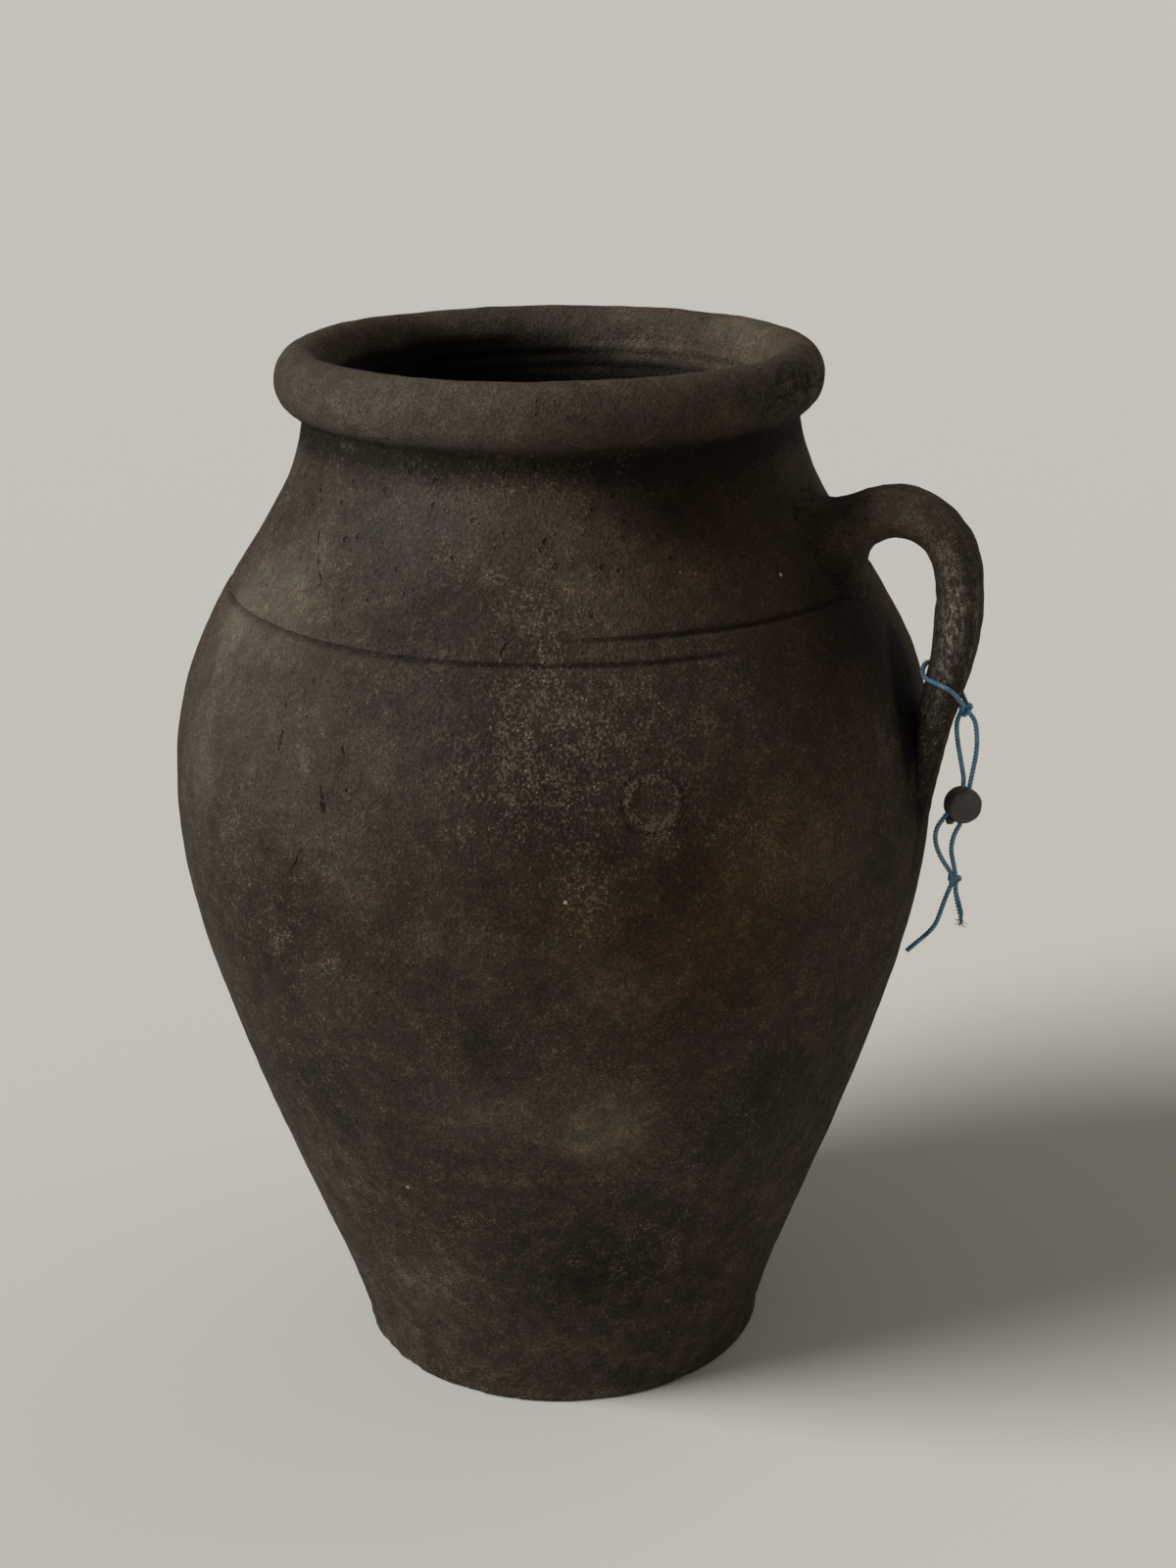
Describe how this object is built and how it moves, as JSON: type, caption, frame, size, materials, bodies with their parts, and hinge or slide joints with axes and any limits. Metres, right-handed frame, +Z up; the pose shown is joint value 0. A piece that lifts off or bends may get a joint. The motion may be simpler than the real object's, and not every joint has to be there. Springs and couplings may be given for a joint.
{
  "type": "pithos jar",
  "caption": "Dark matt earthenware storage jar with a rolled rim, a spiral line on the shoulder, a strap handle and a clay bead hung from it on a knotted cord.",
  "frame": {"origin": "centre of the foot, on the ground", "axes": "+Z up along the jar's axis, +X towards the handle, +Y across the handle"},
  "size_m": [0.2494, 0.2324, 0.32],
  "materials": {
    "fired_clay": "matt, sandy, mottled grey-brown",
    "waxed_cord": "waxed, dull blue",
    "bead_clay": "matt charcoal grey"
  },
  "bodies": {
    "jar": {"base_disc": "fired_clay", "lower_body": "fired_clay", "upper_body": "fired_clay", "rolled_rim": "fired_clay", "handle": "fired_clay", "upper_luting": "fired_clay", "lower_luting": "fired_clay", "cord_loop": "waxed_cord"},
    "hitch": {"hitch_knot": "waxed_cord"},
    "pendant": {"cord_long_strand": "waxed_cord", "cord_short_strand": "waxed_cord", "clay_bead": "bead_clay", "tail_knot": "waxed_cord"}
  },
  "joints": [
    {"name": "pendant_lift", "type": "hinge", "parent": "jar", "child": "hitch", "pos_m": [0.1275, 0, 0.2185], "axis": [0, -1, 0], "range_deg": [0, 70]},
    {"name": "pendant_sway", "type": "hinge", "parent": "hitch", "child": "pendant", "pos_m": [0.1275, 0, 0.2185], "axis": [1, 0, 0], "range_deg": [-50, 50]}
  ]
}
